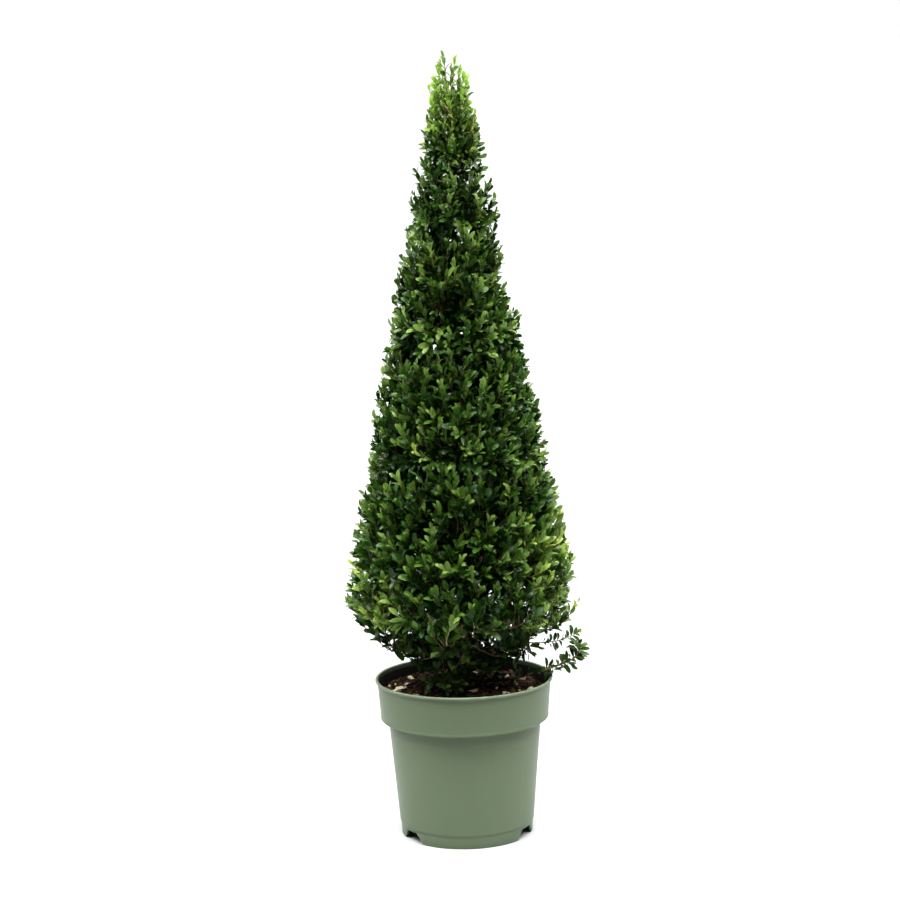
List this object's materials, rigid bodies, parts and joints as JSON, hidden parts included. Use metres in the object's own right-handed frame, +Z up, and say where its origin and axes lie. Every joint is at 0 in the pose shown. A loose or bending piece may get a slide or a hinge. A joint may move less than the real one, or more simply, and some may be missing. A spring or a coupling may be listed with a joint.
{
  "type": "potted japanese holly clipped as a cone",
  "caption": "Small-leaved evergreen holly clipped to a slim cone, growing from one trunk in a round tapering plastic nursery pot of dark soil, with a loose shoot at its foot.",
  "frame": {"origin": "on the ground under the middle of the pot", "axes": "+Z up along the trunk, -Y to the front as pictured, +X to the right"},
  "size_m": [0.3727, 0.3656, 1.2204],
  "materials": {
    "pot": "satin sage green",
    "soil": "rough dark peat",
    "bark": "matt grey-brown bark",
    "leaves": "glossy dark green leaf"
  },
  "bodies": {
    "root": {"pot": "pot", "soil": "soil", "trunk": "bark", "bough_skirt_1": "bark", "bough_skirt_2": "bark", "bough_skirt_3": "bark", "bough_skirt_4": "bark", "bough_lower_1": "bark", "bough_lower_2": "bark", "bough_lower_3": "bark", "bough_middle_1": "bark", "bough_middle_2": "bark", "bough_middle_3": "bark", "bough_upper_1": "bark", "bough_upper_2": "bark", "bough_upper_3": "bark", "bough_side_shoot": "bark", "foliage_skirt_1": "leaves", "foliage_skirt_2": "leaves", "foliage_skirt_3": "leaves", "foliage_skirt_4": "leaves", "foliage_lower_1": "leaves", "foliage_lower_2": "leaves", "foliage_lower_3": "leaves", "foliage_middle_1": "leaves", "foliage_middle_2": "leaves", "foliage_middle_3": "leaves", "foliage_upper_1": "leaves", "foliage_upper_2": "leaves", "foliage_upper_3": "leaves", "foliage_crest": "leaves", "foliage_side_shoot": "leaves", "foliage_foot_shoot": "leaves"}
  },
  "joints": []
}
